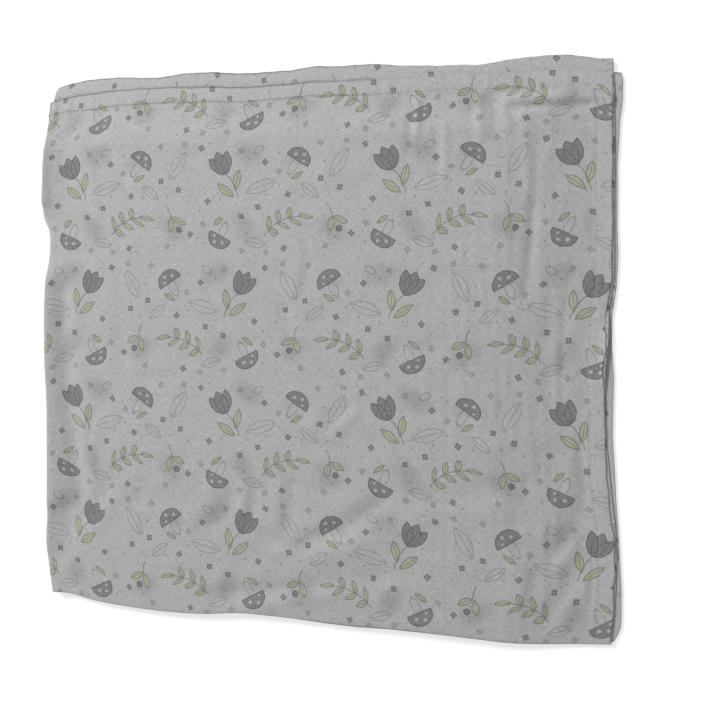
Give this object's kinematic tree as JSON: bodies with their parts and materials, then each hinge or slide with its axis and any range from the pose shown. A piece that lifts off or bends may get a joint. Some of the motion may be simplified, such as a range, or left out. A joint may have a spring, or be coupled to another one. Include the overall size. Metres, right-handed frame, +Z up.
{
  "type": "folded muslin play mat",
  "caption": "Thin printed muslin play mat with a turned hem, folded in quarters and laid flat, its layers stepped along the open edges.",
  "frame": {"origin": "on the surface that the folded mat lies on, under the middle of its outline", "axes": "+Z up, out of the printed top face; +X from the left fold to the open right edges; +Y from the near fold to the open far edges"},
  "size_m": [0.6079, 0.5785, 0.0114],
  "materials": {
    "muslin": "soft, matt, open plain weave, slightly sheer, with a small printed pattern"
  },
  "bodies": {
    "root": {"folded_muslin": "muslin"}
  },
  "joints": []
}
